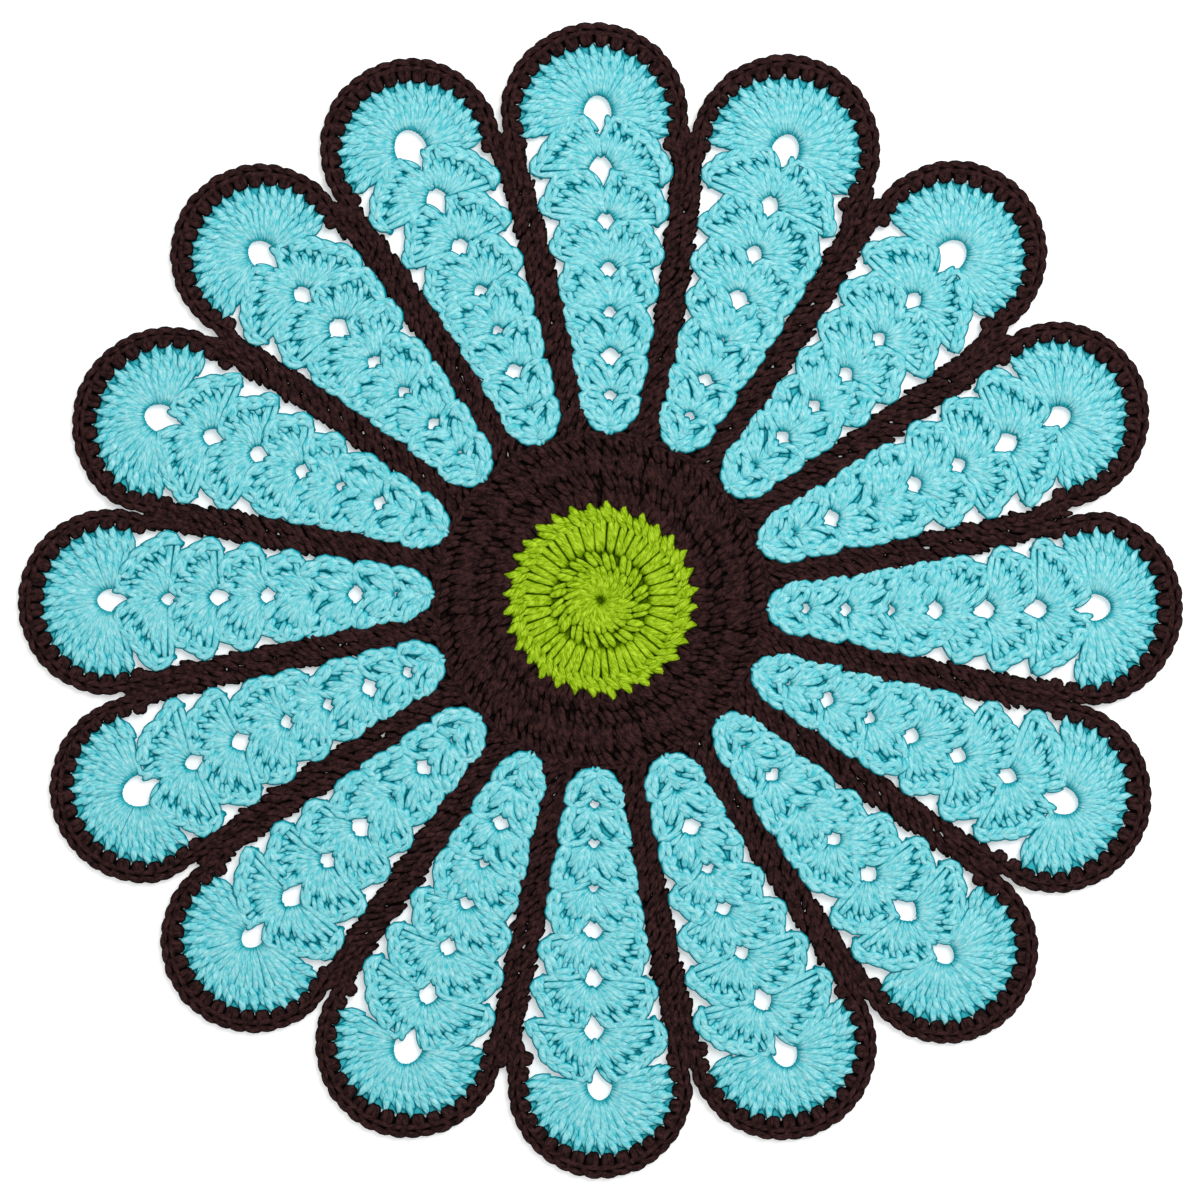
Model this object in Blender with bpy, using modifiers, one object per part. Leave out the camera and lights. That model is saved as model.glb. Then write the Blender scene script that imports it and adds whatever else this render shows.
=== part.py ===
"""A crochet placemat in the form of a flower, lying flat.

A lime medallion of two rounds, two brown rounds about it, and sixteen aqua petals. Each petal is a strip of
double shells that ends in one wide fan, and a brown band is worked about it. Metres, +Z up, the origin on the
underside at the middle of the flower. Petal 0 points along +X, and the rest follow anticlockwise.
"""

import math
from collections import namedtuple

import bmesh
import bpy
from mathutils import Vector
from mathutils.geometry import delaunay_2d_cdt

# Driving dimensions, in millimetres.
MM = 0.001
PITCH = 22.5  # degrees from one petal to the next
GAP = 0.35  # left between pieces that touch

MEDALLION_ROUND = 15.4  # radius where the first lime round meets the second
MEDALLION_RIM = 29.3  # radius of the lime rim between its points
MEDALLION_POINT = 32.3  # radius of the points, one for each stitch
MEDALLION_TOP = 3.8
BROWN_ROUND = 41.4  # radius where the two brown rounds meet
BROWN_RIM = 54.3
BROWN_TOP = 3.6
GROOVE = 0.9  # how far the groove between two rounds lies under their tops
RIB = 0.25  # how far a stitch stands out of a round
TURN_STEPS = 64  # two for each stitch of the lime rim

BAND_ROOT = 5.6  # width of a petal's band where it meets the brown rounds
BAND_NECK = 4.1  # where it is narrowest
BAND_SIDE = 5.0  # along the rest of the petal's side
BAND_TIP = 6.8  # and round its tip
NECK_OUT, SIDE_OUT = 62.0, 84.0  # distances out at which the band has its neck's and its side's width
BAND_EDGE = 2.3  # height of the band's edges
BAND_TOP = 4.0  # height of its ridge
SIDE_STATIONS = (NECK_OUT, 70.0, 90.0, 110.0, 130.0)  # distances out along a seam
SHOULDER = 9.0  # how far short of the tip's centre the side gives way to the tip
TIP_TURN = 98.0  # degrees each way that the tip's arc takes
TIP_STEPS = 14

PETAL_RIM = 2.4  # height of a petal's edge and of the creases between its shells
PETAL_CREST = 3.5  # height of the middle of a shell
PETAL_ROOT = 55.0  # where the petal's round inner end lies
ROOT_CORNER = 59.0  # and where its sides begin
FAN_SECTORS = 5  # raised parts of the end fan

SEAM_IN, SEAM_OUT = 60.0, 150.0  # distances out between which a seam drifts

# reach: to the band's outer edge at the tip. breadth: the radius of that tip. shift: how far the tip's centre lies
# off the petal's ray, anticlockwise. eye: to the hole that the end fan springs from. lean: that hole's own shift.
# left, right: how open the petal's side gaps are, left being the anticlockwise side. seam_in, seam_mid, seam_out:
# how far the seam on the left lies off the ray halfway to the next petal, near the middle, halfway and at its end.
Petal = namedtuple("Petal", "reach breadth shift eye lean left right seam_in seam_mid seam_out")
PETALS = (
    Petal(190.0, 32.0, -2.4, 161.0, -2.3, 1.2, 1.3, -3.0, -4.0, -3.0),
    Petal(191.0, 30.3, -1.1, 160.5, -2.0, 0.7, 1.1, -4.0, -4.5, -3.0),
    Petal(192.0, 30.0, -1.6, 160.0, -1.4, 1.3, 1.4, -4.0, -4.5, -2.0),
    Petal(190.0, 30.8, 0.5, 158.5, 0.4, 1.2, 0.7, -3.5, -3.5, 0.5),
    Petal(188.5, 30.5, 2.0, 159.0, 0.9, 1.4, 0.6, -2.5, -2.0, 1.0),
    Petal(189.3, 29.4, 0.8, 159.5, 0.8, 1.2, 1.0, -1.5, -3.0, -1.0),
    Petal(187.6, 29.4, -1.5, 157.5, -1.7, 0.8, 0.7, -1.0, -2.5, -1.0),
    Petal(183.6, 31.5, 0.7, 155.0, 0.0, 1.0, 1.2, -1.5, -1.0, 1.0),
    Petal(190.0, 30.3, 0.6, 159.5, 0.0, 0.8, 0.9, -2.5, -2.0, -1.0),
    Petal(191.8, 30.6, -0.2, 162.0, 0.0, 0.6, 1.2, -2.0, -3.0, -2.5),
    Petal(188.7, 30.0, -1.6, 157.5, -2.6, 0.7, 1.0, -1.0, -2.5, -3.0),
    Petal(188.2, 30.6, -2.2, 158.5, -2.1, 0.9, 1.0, -2.5, -2.5, -2.5),
    Petal(188.5, 30.0, 0.0, 158.0, -0.2, 0.6, 1.1, -1.0, -2.0, -1.5),
    Petal(187.8, 30.7, -0.9, 159.0, -0.9, 0.9, 0.8, 0.5, -0.5, -0.5),
    Petal(190.8, 30.0, -1.2, 160.5, -2.3, 1.0, 0.8, -0.5, -1.5, -1.5),
    Petal(193.0, 31.3, -2.4, 164.0, -2.7, 1.4, 0.9, -2.0, -2.5, -2.5),
)

# One row of shells to a line, from the middle out, on a petal whose eye is 159 out. out: the hole that the two
# shells spring from. length and width: that hole, or 0 where the stitches close it. side: where the row begins at
# the petal's edge. left and right: depth of the gap there, for a petal whose gaps are 1 open, and span its length.
# arch: how far the row's first stitches bow outwards.
Row = namedtuple("Row", "out length width side left right span arch")
ROWS = (
    Row(66.0, 0.0, 0.0, 69.0, 0.0, 0.0, 4.0, 0.5),
    Row(79.5, 4.2, 4.2, 82.0, 0.0, 0.0, 4.0, 1.0),
    Row(94.0, 0.0, 0.0, 96.0, 0.0, 0.0, 4.0, 1.5),
    Row(108.0, 4.2, 4.2, 109.0, 2.6, 3.4, 4.4, 1.5),
    Row(123.3, 5.0, 4.6, 121.5, 3.4, 4.2, 5.2, 2.0),
    Row(140.0, 7.4, 5.2, 134.3, 4.2, 4.6, 6.2, 2.5),
    Row(159.0, 10.4, 8.0, 148.6, 3.2, 5.6, 8.0, 3.0),
)
NECK = 58.0  # the first row's foot
ROW_EYE = ROWS[-1].out
HOLE_POINTS = 6
LEAST_GAP = 2.4  # a side gap less deep than this is closed by its stitches
DIMPLE = 0.6  # and leaves this

LIME = ("lime cotton", (0.33, 0.52, 0.015, 1.0))
BROWN = ("dark brown cotton", (0.026, 0.0125, 0.012, 1.0))
AQUA = ("aqua cotton", (0.22, 0.64, 0.67, 1.0))


def clear_scene():
    for old in list(bpy.data.objects):
        bpy.data.objects.remove(old, do_unlink=True)


def cotton(name, colour):
    """A matt dyed cotton yarn."""
    material = bpy.data.materials.new(name)
    material.use_nodes = True
    shader = material.node_tree.nodes["Principled BSDF"]
    shader.inputs["Base Color"].default_value = colour
    shader.inputs["Roughness"].default_value = 0.85
    shader.inputs["Metallic"].default_value = 0.0
    return material


def add_piece(name, bm, collection, material):
    """The bmesh, drawn in millimetres, as an object in metres."""
    bmesh.ops.scale(bm, vec=Vector((MM, MM, MM)), verts=bm.verts)
    bmesh.ops.recalc_face_normals(bm, faces=bm.faces)
    mesh = bpy.data.meshes.new(name)
    bm.to_mesh(mesh)
    bm.free()
    mesh.materials.append(material)
    piece = bpy.data.objects.new(name, mesh)
    collection.objects.link(piece)
    return piece


def along(angle):
    """Unit vectors outwards along a ray, and anticlockwise across it."""
    turn = math.radians(angle)
    return Vector((math.cos(turn), math.sin(turn))), Vector((-math.sin(turn), math.cos(turn)))


def placed(angle, out, across):
    ray, side = along(angle)
    return ray * out + side * across


# Seams and bands ------------------------------------------------------------------------------------------


def seam_drift(index, out):
    """How far the seam after this petal lies off its ray, by the curve through its three drifts."""
    petal = PETALS[index % len(PETALS)]
    t = (min(out, SEAM_OUT) - SEAM_IN) / (SEAM_OUT - SEAM_IN)
    near, middle, far = (2 * t - 1) * (t - 1), 4 * t * (1 - t), t * (2 * t - 1)
    return petal.seam_in * near + petal.seam_mid * middle + petal.seam_out * far


def seam_point(index, left, out, inset):
    """A point beside the seam on one side of a petal, inset from the seam towards the petal."""
    seam = index if left else index - 1
    across = seam_drift(seam, out) - inset if left else seam_drift(seam, out) + inset
    return placed((seam + 0.5) * PITCH, out, across)


def band_width(out):
    if out < NECK_OUT:
        return BAND_NECK + (BAND_ROOT - BAND_NECK) * (NECK_OUT - out) / (NECK_OUT - BROWN_RIM)
    grown = min(1.0, (out - NECK_OUT) / (SIDE_OUT - NECK_OUT))
    return BAND_NECK + (BAND_SIDE - BAND_NECK) * grown


def tip_centre(index):
    petal = PETALS[index]
    return placed(index * PITCH, petal.reach - petal.breadth, petal.shift)


def tip_reach(index, turn):
    """Distance from the tip's centre to the band's outer edge, or to the seam where that comes first."""
    centre = tip_centre(index)
    radius = PETALS[index].breadth
    left = turn > 0
    ray, _ = along(index * PITCH + turn)
    seam = index if left else index - 1
    _, across = along((seam + 0.5) * PITCH)
    towards = ray.dot(across) * (1 if left else -1)
    if towards <= 0:
        return radius
    room = seam_drift(seam, SEAM_OUT) - centre.dot(across)
    room = (room if left else -room) - GAP / 2
    return min(radius, room / towards)


def tip_turns():
    return [TIP_TURN * (2 * step / TIP_STEPS - 1) for step in range(TIP_STEPS + 1)]


def tip_width(turn):
    near_tip = (1 + math.cos(math.radians(turn) * 180 / TIP_TURN)) / 2
    return BAND_SIDE + (BAND_TIP - BAND_SIDE) * near_tip


def band_stations(index):
    """(outer, inner) points of the band from its clockwise end, round the tip, to its other end."""
    stations = []
    petal = PETALS[index]
    outs = (BROWN_RIM + GAP, *SIDE_STATIONS, petal.reach - petal.breadth - SHOULDER)
    for out in outs:
        width = band_width(out)
        stations.append(
            (seam_point(index, False, out, GAP / 2), seam_point(index, False, out, GAP / 2 + width))
        )
    centre = tip_centre(index)
    for turn in tip_turns():
        ray, _ = along(index * PITCH + turn)
        reach = tip_reach(index, turn)
        stations.append((centre + ray * reach, centre + ray * (reach - tip_width(turn))))
    for out in reversed(outs):
        width = band_width(out)
        stations.append(
            (seam_point(index, True, out, GAP / 2), seam_point(index, True, out, GAP / 2 + width))
        )
    return stations


def band_section(outer, inner):
    """The band cut across: flat underneath, with a ridge along its middle."""
    ridge = (outer + inner) / 2
    return [
        inner.to_3d(),
        outer.to_3d(),
        Vector((*outer, BAND_EDGE)),
        Vector((*ridge, BAND_TOP)),
        Vector((*inner, BAND_EDGE)),
    ]


def loft(sections):
    """A closed bmesh through sections that all have the same number of points."""
    bm = bmesh.new()
    rings = [[bm.verts.new(point) for point in section] for section in sections]
    for ring, following in zip(rings, rings[1:]):
        for corner in range(len(ring)):
            nearby = (corner + 1) % len(ring)
            bm.faces.new((ring[corner], ring[nearby], following[nearby], following[corner]))
    bm.faces.new(rings[0])
    bm.faces.new(rings[-1])
    return bm


def make_band(index, collection, material):
    sections = [band_section(outer, inner) for outer, inner in band_stations(index)]
    add_piece(f"band_{index:02d}", loft(sections), collection, material)


# Petals ---------------------------------------------------------------------------------------------------


class Net:
    """Points and edges of a flat figure, each point with its height."""

    def __init__(self):
        self.points, self.heights, self.edges, self.holes = [], [], [], []

    def point(self, place, height):
        self.points.append(Vector(place))
        self.heights.append(height)
        return len(self.points) - 1

    def line(self, *indices):
        self.edges.extend(zip(indices, indices[1:]))


def row_place(index, out):
    """A place on a petal's middle line, for a distance out on the pattern petal."""
    petal = PETALS[index]
    share = (out - NECK) / (ROW_EYE - NECK)
    true_out = NECK + (petal.eye - NECK) * share
    drift = (seam_drift(index, true_out) + seam_drift(index - 1, true_out)) / 2
    lean = petal.lean if out >= ROW_EYE else drift
    return true_out, lean


def hole_loop(net, index, row):
    """The points of a row's hole from its outer end anticlockwise, or one point where it is closed."""
    out, across = row_place(index, row.out)
    if not row.length:
        point = net.point(placed(index * PITCH, out, across), PETAL_RIM)
        return [point] * HOLE_POINTS
    loop = []
    for corner in range(HOLE_POINTS):
        turn = math.tau * corner / HOLE_POINTS
        place = placed(
            index * PITCH,
            out + math.cos(turn) * row.length / 2,
            across + math.sin(turn) * row.width / 2 / math.sin(math.tau / HOLE_POINTS),
        )
        loop.append(net.point(place, PETAL_RIM))
    net.line(*loop, loop[0])
    net.holes.append([net.points[point] for point in loop])
    return loop


def edge_point(index, left, out):
    """A point on the petal's side, a gap short of its band."""
    return seam_point(index, left, out, GAP / 2 + band_width(out) + GAP)


def side_notch(net, index, left, row, last):
    """Where a row begins at the petal's side: the point before the opening, its depth, and the point after."""
    out, _ = row_place(index, row.side)
    petal = PETALS[index]
    depth = row.left * petal.left if left else row.right * petal.right
    if depth < LEAST_GAP:
        depth = DIMPLE
    before = net.point(edge_point(index, left, out - row.span / 2), PETAL_RIM)
    inset = GAP / 2 + band_width(out) + GAP + depth
    deepest = net.point(seam_point(index, left, out, inset), PETAL_RIM)
    after = None if last else net.point(edge_point(index, left, out + row.span / 2), PETAL_RIM)
    return before, deepest, after


def petal_net(index):
    net = Net()
    angle = index * PITCH
    root_out, root_across = row_place(index, NECK)
    root = net.point(placed(angle, PETAL_ROOT, root_across), PETAL_RIM)
    holes = [hole_loop(net, index, row) for row in ROWS]
    top, bottom = 0, HOLE_POINTS // 2
    net.line(root, holes[0][bottom])
    for hole, following in zip(holes, holes[1:]):
        net.line(hole[top], following[bottom])
    centre = tip_centre(index)
    rim = []
    for turn in tip_turns():
        ray, _ = along(angle + turn)
        reach = tip_reach(index, turn) - tip_width(turn) - GAP
        rim.append(net.point(centre + ray * reach, PETAL_RIM))
    net.line(*rim)
    crests = []
    for left in (True, False):
        lower_corner = bottom - 1 if left else bottom + 1
        corner = net.point(edge_point(index, left, ROOT_CORNER), PETAL_RIM)
        shoulder = net.points[corner].lerp(net.points[root], 0.45) - along(angle)[0] * 1.3
        outline = [root, net.point(shoulder, PETAL_RIM), corner]
        foot = [net.points[root], net.points[corner]]
        for row, hole in zip(ROWS, holes):
            last = row is ROWS[-1]
            before, deepest, after = side_notch(net, index, left, row, last)
            start = net.points[hole[lower_corner]]
            bow = start.lerp(net.points[deepest], 0.5) + along(angle)[0] * row.arch
            net.line(hole[lower_corner], net.point(bow, PETAL_RIM), deepest)
            outline += [before, deepest] + ([after] if after is not None else [])
            head = [start, net.points[before]]
            crests.append(sum(foot + head, Vector((0.0, 0.0))) / 4)
            foot = [start, net.points[after if after is not None else deepest]]
        outline.append(rim[-1] if left else rim[0])
        net.line(*outline)
    eye = holes[-1]
    for sector in range(1, FAN_SECTORS):
        rim_point = rim[round(sector * TIP_STEPS / FAN_SECTORS)]
        turn = TIP_TURN * (2 * sector / FAN_SECTORS - 1)
        eye_corner = eye[round(turn / (360 / HOLE_POINTS)) % HOLE_POINTS]
        net.line(eye_corner, rim_point)
    for sector in range(FAN_SECTORS):
        turn = TIP_TURN * ((2 * sector + 1) / FAN_SECTORS - 1)
        ray, _ = along(angle + turn)
        crests.append(centre + ray * (tip_reach(index, turn) - BAND_TIP) * 0.62)
    for crest in crests:
        net.point(crest, PETAL_CREST)
    return net


def inside(point, loop):
    """Whether a point lies within a convex loop drawn anticlockwise."""
    return all((b - a).cross(point - a) > 0 for a, b in zip(loop, loop[1:] + loop[:1]))


def make_petal(index, collection, material):
    net = petal_net(index)
    made = delaunay_2d_cdt(net.points, net.edges, [], 1, 1e-6)
    places, _, faces, origins = made[0], made[1], made[2], made[3]
    heights = [max((net.heights[o] for o in origin), default=PETAL_RIM) for origin in origins]
    bm = bmesh.new()
    verts = [bm.verts.new((*place, height)) for place, height in zip(places, heights)]
    for face in faces:
        middle = sum((places[corner] for corner in face), Vector((0.0, 0.0))) / len(face)
        if not any(inside(middle, hole) for hole in net.holes):
            bm.faces.new([verts[corner] for corner in face])
    top = bm.faces[:]
    lower = bmesh.ops.extrude_face_region(bm, geom=top)
    for vert in (v for v in lower["geom"] if isinstance(v, bmesh.types.BMVert)):
        vert.co.z = 0.0
    bmesh.ops.delete(bm, geom=[v for v in bm.verts if not v.link_faces], context="VERTS")
    add_piece(f"petal_{index:02d}", bm, collection, material)


# Rounds ---------------------------------------------------------------------------------------------------


def turned(profile, collection):
    """A mesh turned about Z from a closed profile of (radius, height), outer side first and downwards."""
    bm = bmesh.new()
    verts = [bm.verts.new((radius * MM, 0.0, height * MM)) for radius, height in profile]
    for a, b in zip(verts, verts[1:]):
        bm.edges.new((a, b))
    if profile[0][0] and profile[-1][0]:
        bm.edges.new((verts[-1], verts[0]))
    mesh = bpy.data.meshes.new("profile")
    bm.to_mesh(mesh)
    bm.free()
    lathe = bpy.data.objects.new("lathe", mesh)
    collection.objects.link(lathe)
    screw = lathe.modifiers.new("turn", "SCREW")
    screw.steps = screw.render_steps = TURN_STEPS
    screw.use_merge_vertices = True
    screw.merge_threshold = 0.00001
    bpy.context.view_layer.update()
    graph = bpy.context.evaluated_depsgraph_get()
    made = bpy.data.meshes.new_from_object(lathe.evaluated_get(graph))
    bpy.data.objects.remove(lathe)
    bm = bmesh.new()
    bm.from_mesh(made)
    bmesh.ops.scale(bm, vec=Vector((1 / MM, 1 / MM, 1 / MM)), verts=bm.verts)
    return bm


def turn_step(vert):
    return round(math.atan2(vert.co.y, vert.co.x) / math.tau * TURN_STEPS) % TURN_STEPS


def raise_ribs(bm, top, inner, outer):
    """Lifts every second line of points on a round's top, so that its stitches stand out as ribs."""
    for vert in bm.verts:
        radius = math.hypot(vert.co.x, vert.co.y)
        if inner < radius < outer and vert.co.z > top - GROOVE / 2 and turn_step(vert) % 2:
            vert.co.z += RIB


def point_rim(bm, rim, tip):
    """Draws every second point of a rim out to the radius of the medallion's points."""
    for vert in bm.verts:
        radius = math.hypot(vert.co.x, vert.co.y)
        if abs(radius - rim) < 0.01 and turn_step(vert) % 2:
            vert.co.x *= tip / rim
            vert.co.y *= tip / rim


def make_medallion(collection, material):
    low = MEDALLION_TOP - GROOVE
    profile = [
        (0.0, low),
        (MEDALLION_ROUND * 0.35, MEDALLION_TOP),
        (MEDALLION_ROUND * 0.75, MEDALLION_TOP),
        (MEDALLION_ROUND, low),
        (MEDALLION_ROUND + 3.5, MEDALLION_TOP),
        (MEDALLION_RIM - 3.5, MEDALLION_TOP),
        (MEDALLION_RIM, low),
        (MEDALLION_RIM, 0.0),
        (0.0, 0.0),
    ]
    bm = turned(profile, collection)
    raise_ribs(bm, MEDALLION_TOP, MEDALLION_ROUND, MEDALLION_RIM)
    point_rim(bm, MEDALLION_RIM, MEDALLION_POINT)
    add_piece("medallion", bm, collection, material)


def make_brown_rounds(collection, material):
    low = BROWN_TOP - GROOVE
    clear = GAP * 1.5  # the rim's sides slope, so it stands further off along the radius
    inner = MEDALLION_RIM + clear
    profile = [
        (inner, low),
        (MEDALLION_POINT + 2.5, BROWN_TOP),
        (BROWN_ROUND - 2.5, BROWN_TOP),
        (BROWN_ROUND, low),
        (BROWN_ROUND + 3.0, BROWN_TOP),
        (BROWN_RIM - 2.5, BROWN_TOP),
        (BROWN_RIM, low),
        (BROWN_RIM, 0.0),
        (inner, 0.0),
    ]
    bm = turned(profile, collection)
    raise_ribs(bm, BROWN_TOP, inner, BROWN_RIM)
    point_rim(bm, inner, MEDALLION_POINT + clear)
    add_piece("brown_rounds", bm, collection, material)


def main():
    clear_scene()
    collection = bpy.data.collections.new("crochet placemat")
    bpy.context.scene.collection.children.link(collection)
    lime, brown, aqua = (cotton(*yarn) for yarn in (LIME, BROWN, AQUA))
    make_medallion(collection, lime)
    make_brown_rounds(collection, brown)
    for index in range(len(PETALS)):
        make_petal(index, collection, aqua)
        make_band(index, collection, brown)


main()
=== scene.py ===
"""The looks of a crochet placemat: every stitch as yarn, about a thin ground of cloth, on a pale table.

Sizes are in millimetres until a piece is made. Petal 0 points along +X, and the rest follow anticlockwise.
"""

import math
import random
from collections import namedtuple

import bmesh
import bpy
import numpy as np
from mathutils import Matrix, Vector


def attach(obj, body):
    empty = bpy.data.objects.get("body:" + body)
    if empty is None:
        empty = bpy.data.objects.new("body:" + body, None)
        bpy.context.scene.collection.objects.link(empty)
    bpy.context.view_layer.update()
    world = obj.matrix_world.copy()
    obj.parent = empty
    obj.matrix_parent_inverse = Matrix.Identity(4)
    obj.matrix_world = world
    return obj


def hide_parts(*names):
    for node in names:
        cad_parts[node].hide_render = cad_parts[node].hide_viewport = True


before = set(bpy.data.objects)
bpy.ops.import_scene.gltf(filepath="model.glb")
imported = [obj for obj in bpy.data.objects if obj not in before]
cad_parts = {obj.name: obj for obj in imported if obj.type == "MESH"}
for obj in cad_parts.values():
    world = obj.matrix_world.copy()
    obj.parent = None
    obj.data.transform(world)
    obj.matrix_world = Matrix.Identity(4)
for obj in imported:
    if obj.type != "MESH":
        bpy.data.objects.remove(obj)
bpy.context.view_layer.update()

MM = 0.001
PETAL_COUNT = 16
PITCH = 360 / PETAL_COUNT  # degrees from one petal to the next
GAP = 0.35  # between the solids of neighbouring pieces

# Yarn ---------------------------------------------------------------

YARN = 2.3  # diameter of the worsted cotton, in mm
PLY_PITCH = 15.0  # length in which its plies go once round
PLIES = 4
STITCH = 4.8  # from one edging stitch to the next

# The flower's plan, as its solids have it ---------------------------

# Radii: where the medallion's rounds meet, its rim's hollows and points, where the brown rounds meet and end.
MEDALLION_ROUND = 15.4
MEDALLION_RIM, MEDALLION_POINT = 29.3, 32.3
BROWN_ROUND = 41.4
BROWN_RIM = 54.3

# Breadths of the band round a petal, from the rounds to its tip, and how far out the middle two are reached.
BAND_ROOT, BAND_NECK, BAND_SIDE, BAND_TIP = 5.6, 4.1, 5.0, 6.8
NECK_OUT, SIDE_OUT = 62.0, 84.0
TIP_TURN = 98.0  # degrees round the tip in which the band narrows to its breadth at the side
SEAM_IN, SEAM_OUT = 60.0, 150.0  # how far out a seam's first and last drift are

# reach: how far out the tip is. breadth, shift: radius of the round end, and how far off its ray it is.
# eye, lean: how far out the end fan's eye is, and how far off the ray.
# slide_left, slide_right: how much further out than the pattern's the side gaps are.
# seam_in, seam_mid, seam_out: drifts of the seam after the petal off its ray, from near the rounds outwards.
Petal = namedtuple("Petal", "reach breadth shift eye lean slide_left slide_right seam_in seam_mid seam_out")
PETALS = (
    Petal(190.0, 32.0, -2.4, 161.0, -2.3, 1.2, 2.0, -3.0, -4.0, -3.0),
    Petal(191.0, 30.3, -1.1, 160.5, -2.0, 0.8, 1.2, -4.0, -4.5, -3.0),
    Petal(192.0, 30.0, -1.6, 160.0, -1.4, 0.2, 0.3, -4.0, -4.5, -2.0),
    Petal(190.0, 30.8, 0.5, 158.5, 0.4, 0.0, 1.8, -3.5, -3.5, 0.5),
    Petal(188.5, 30.5, 2.0, 159.0, 0.9, 0.6, -1.0, -2.5, -2.0, 1.0),
    Petal(189.3, 29.4, 0.8, 159.5, 0.8, -2.0, -0.5, -1.5, -3.0, -1.0),
    Petal(187.6, 29.4, -1.5, 157.5, -1.7, 0.0, 0.0, -1.0, -2.5, -1.0),
    Petal(183.6, 31.5, 0.7, 155.0, 0.0, 0.6, 0.0, -1.5, -1.0, 1.0),
    Petal(190.0, 30.3, 0.6, 159.5, 0.0, 0.8, -0.8, -2.5, -2.0, -1.0),
    Petal(191.8, 30.6, -0.2, 162.0, 0.0, 0.0, -0.8, -2.0, -3.0, -2.5),
    Petal(188.7, 30.0, -1.6, 157.5, -2.6, -0.8, 1.0, -1.0, -2.5, -3.0),
    Petal(188.2, 30.6, -2.2, 158.5, -2.1, -0.6, -1.8, -2.5, -2.5, -2.5),
    Petal(188.5, 30.0, 0.0, 158.0, -0.2, 0.0, 0.0, -1.0, -2.0, -1.5),
    Petal(187.8, 30.7, -0.9, 159.0, -0.9, 0.0, -1.8, 0.5, -0.5, -0.5),
    Petal(190.8, 30.0, -1.2, 160.5, -2.3, 1.0, -0.8, -0.5, -1.5, -1.5),
    Petal(193.0, 31.3, -2.4, 164.0, -2.7, 0.3, 0.2, -2.0, -2.5, -2.5),
)

# The pattern's rows. out: the hole's place on the petal's middle line. stretch: its length over its breadth.
# side: where the gap beside the row's foot is.
# stitches: tall stitches in each of the row's two shells, or in the end fan.
Row = namedtuple("Row", "out stretch side stitches")
ROWS = (
    Row(56.6, 1.0, 57.0, 3),
    Row(67.0, 1.0, 69.0, 3),
    Row(79.8, 0.9, 82.0, 4),
    Row(94.4, 1.0, 97.0, 5),
    Row(108.4, 0.9, 109.3, 6),
    Row(124.2, 1.1, 122.3, 6),
    Row(140.8, 1.35, 135.5, 7),
    Row(159.0, 1.3, 148.6, 19),
)

# Mean breadths of each petal's holes and eye, and depths of the last five gaps on its sides, from the inside
# out. 0 is one worked shut.
Openings = namedtuple("Openings", "holes left right")
OPENINGS = (
    Openings((1.9, 2.8, 1.7, 4.7, 6.0, 6.2, 9.0), (0.0, 0.0, 4.2, 4.2, 4.2), (0.0, 5.9, 4.6, 5.5, 5.5)),
    Openings((0.0, 4.2, 0.0, 4.4, 3.6, 6.8, 7.4), (0.0, 3.1, 3.4, 3.6, 0.0), (0.0, 3.7, 4.7, 5.0, 4.8)),
    Openings((0.0, 3.2, 2.5, 4.0, 3.4, 4.8, 10.0), (2.1, 3.2, 2.8, 5.1, 4.6), (2.8, 2.5, 5.1, 4.8, 6.2)),
    Openings((1.9, 3.5, 0.0, 5.6, 4.5, 5.4, 9.2), (2.5, 2.9, 3.8, 6.9, 1.8), (0.0, 0.0, 0.0, 2.9, 4.4)),
    Openings((2.7, 4.9, 2.6, 3.7, 4.5, 7.7, 9.4), (0.0, 3.3, 4.6, 4.2, 6.2), (1.6, 2.3, 2.9, 1.6, 3.3)),
    Openings((0.0, 4.3, 2.0, 2.8, 4.6, 7.0, 10.9), (0.0, 0.0, 4.2, 6.2, 2.3), (0.0, 1.3, 4.1, 3.9, 3.0)),
    Openings((0.0, 2.8, 2.4, 3.0, 6.1, 5.0, 8.7), (0.0, 0.0, 1.6, 3.9, 2.8), (0.0, 3.0, 0.0, 0.0, 5.3)),
    Openings((0.0, 3.1, 1.6, 3.3, 4.7, 5.4, 9.3), (0.0, 0.0, 4.9, 4.2, 3.2), (3.0, 3.2, 4.1, 5.7, 4.8)),
    Openings((0.0, 4.2, 0.0, 4.1, 5.2, 3.4, 7.5), (0.0, 3.6, 3.9, 4.6, 0.0), (2.0, 2.9, 2.9, 2.9, 3.9)),
    Openings((2.3, 4.6, 2.3, 3.2, 5.3, 4.5, 10.7), (2.0, 2.8, 2.1, 4.1, 0.0), (2.8, 0.0, 3.5, 4.0, 6.8)),
    Openings((0.0, 4.0, 0.0, 5.8, 4.1, 6.6, 7.0), (2.1, 2.8, 3.9, 3.0, 0.0), (0.0, 3.0, 2.8, 4.1, 4.4)),
    Openings((0.0, 4.0, 1.8, 3.3, 4.4, 5.9, 9.6), (0.0, 1.8, 1.6, 2.5, 4.3), (0.0, 3.1, 4.2, 2.7, 5.0)),
    Openings((1.6, 2.1, 2.0, 5.0, 5.3, 6.5, 8.4), (0.0, 0.0, 2.6, 2.9, 0.0), (0.0, 3.3, 3.3, 4.2, 6.2)),
    Openings((0.0, 4.7, 2.6, 3.8, 3.3, 6.1, 8.5), (3.5, 3.7, 3.0, 3.9, 2.8), (2.0, 4.3, 3.9, 4.0, 2.5)),
    Openings((0.0, 3.3, 0.0, 3.6, 4.8, 7.2, 6.4), (1.4, 3.2, 3.7, 2.8, 3.7), (0.0, 0.0, 5.1, 2.5, 4.1)),
    Openings((0.0, 3.7, 2.5, 4.2, 4.2, 4.8, 9.3), (0.0, 0.0, 4.3, 5.7, 3.9), (0.0, 2.2, 4.6, 3.3, 4.6)),
)
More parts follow.
